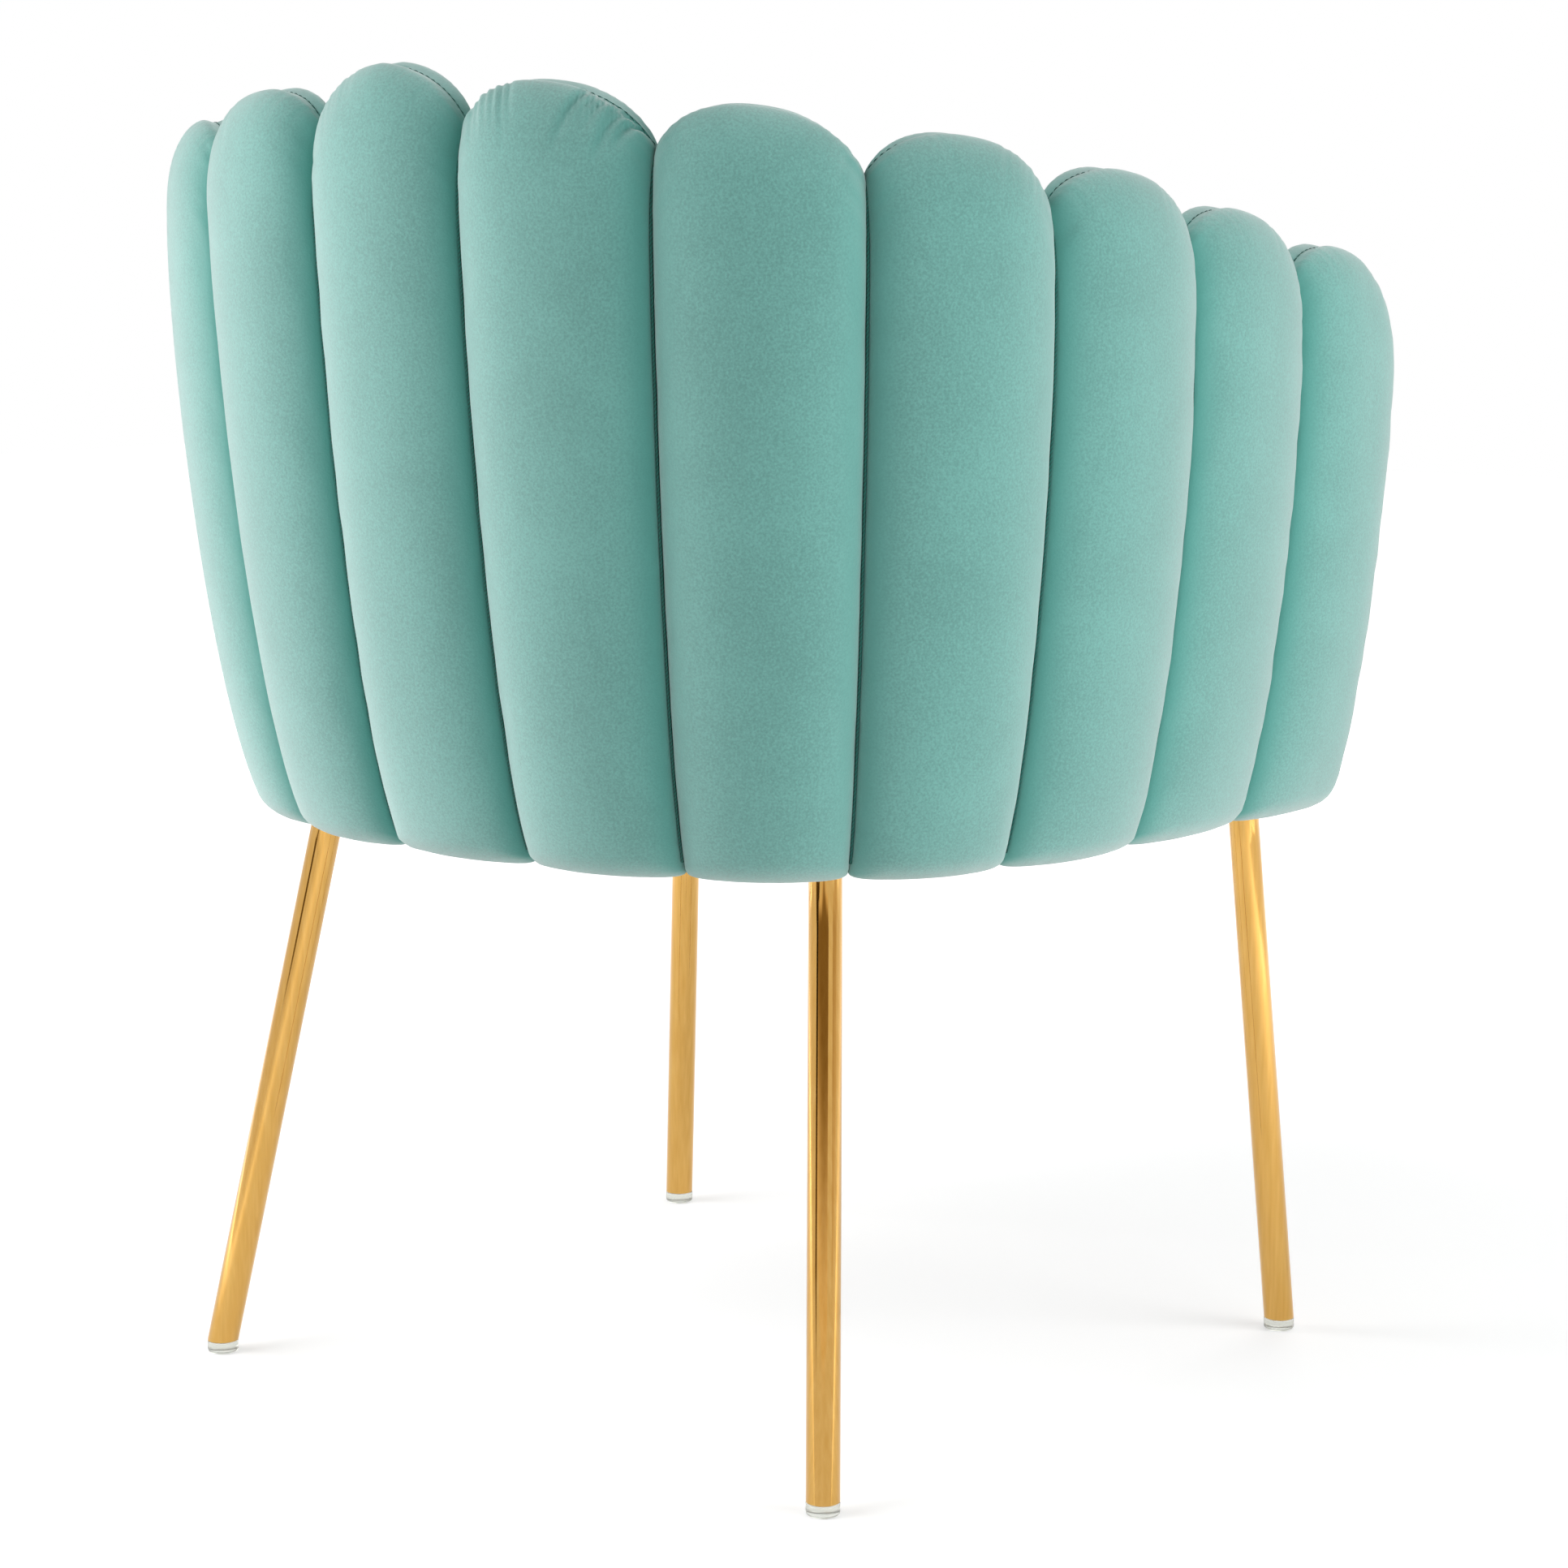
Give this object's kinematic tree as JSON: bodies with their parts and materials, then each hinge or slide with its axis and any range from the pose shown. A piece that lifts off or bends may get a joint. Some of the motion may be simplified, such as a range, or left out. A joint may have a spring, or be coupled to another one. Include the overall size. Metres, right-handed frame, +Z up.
{
  "type": "upholstered tub armchair",
  "caption": "Barrel armchair with a scalloped, channelled velvet back that falls into low arms, a padded seat and splayed gold tube legs with clear glides.",
  "frame": {"origin": "middle of the whole chair's footprint, on the floor that the glides stand on", "axes": "+Z up; the chair faces -Y, so its back is towards +Y; +X is the sitter's left"},
  "size_m": [0.654, 0.6017, 0.775],
  "materials": {
    "mint velvet": "soft short pile",
    "gold tube": "mirror polished",
    "clear plastic": "clear, glossy",
    "plywood": "raw",
    "hardwood": "raw",
    "spring steel": "bare",
    "zinc steel": "zinc plated",
    "felt pad": "matt",
    "black lining": "matt"
  },
  "bodies": {
    "root": {"back_left_corner_block": "hardwood", "back_left_glide": "clear plastic", "back_left_leg": "gold tube", "back_left_leg_screw_1": "zinc steel", "back_left_leg_screw_2": "zinc steel", "back_rail": "hardwood", "back_right_corner_block": "hardwood", "back_right_glide": "clear plastic", "back_right_leg": "gold tube", "back_right_leg_screw_1": "zinc steel", "back_right_leg_screw_2": "zinc steel", "bent_ply_shell": "plywood", "dust_cover": "black lining", "front_apron": "mint velvet", "front_left_corner_block": "hardwood", "front_left_glide": "clear plastic", "front_left_leg": "gold tube", "front_left_leg_screw_1": "zinc steel", "front_left_leg_screw_2": "zinc steel", "front_rail": "hardwood", "front_right_corner_block": "hardwood", "front_right_glide": "clear plastic", "front_right_leg": "gold tube", "front_right_leg_screw_1": "zinc steel", "front_right_leg_screw_2": "zinc steel", "inner_channel_01": "mint velvet", "inner_channel_02": "mint velvet", "inner_channel_03": "mint velvet", "inner_channel_04": "mint velvet", "inner_channel_05": "mint velvet", "inner_channel_06": "mint velvet", "inner_channel_07": "mint velvet", "inner_channel_08": "mint velvet", "inner_channel_09": "mint velvet", "inner_channel_10": "mint velvet", "inner_channel_11": "mint velvet", "inner_channel_12": "mint velvet", "inner_channel_13": "mint velvet", "left_side_rail": "hardwood", "outer_channel_01": "mint velvet", "outer_channel_02": "mint velvet", "outer_channel_03": "mint velvet", "outer_channel_04": "mint velvet", "outer_channel_05": "mint velvet", "outer_channel_06": "mint velvet", "outer_channel_07": "mint velvet", "outer_channel_08": "mint velvet", "outer_channel_09": "mint velvet", "outer_channel_10": "mint velvet", "outer_channel_11": "mint velvet", "outer_channel_12": "mint velvet", "outer_channel_13": "mint velvet", "right_side_rail": "hardwood", "seat_cushion": "mint velvet", "seat_spring_1": "spring steel", "seat_spring_2": "spring steel", "seat_spring_3": "spring steel", "seat_spring_4": "spring steel", "spring_insulator": "felt pad"}
  },
  "joints": []
}
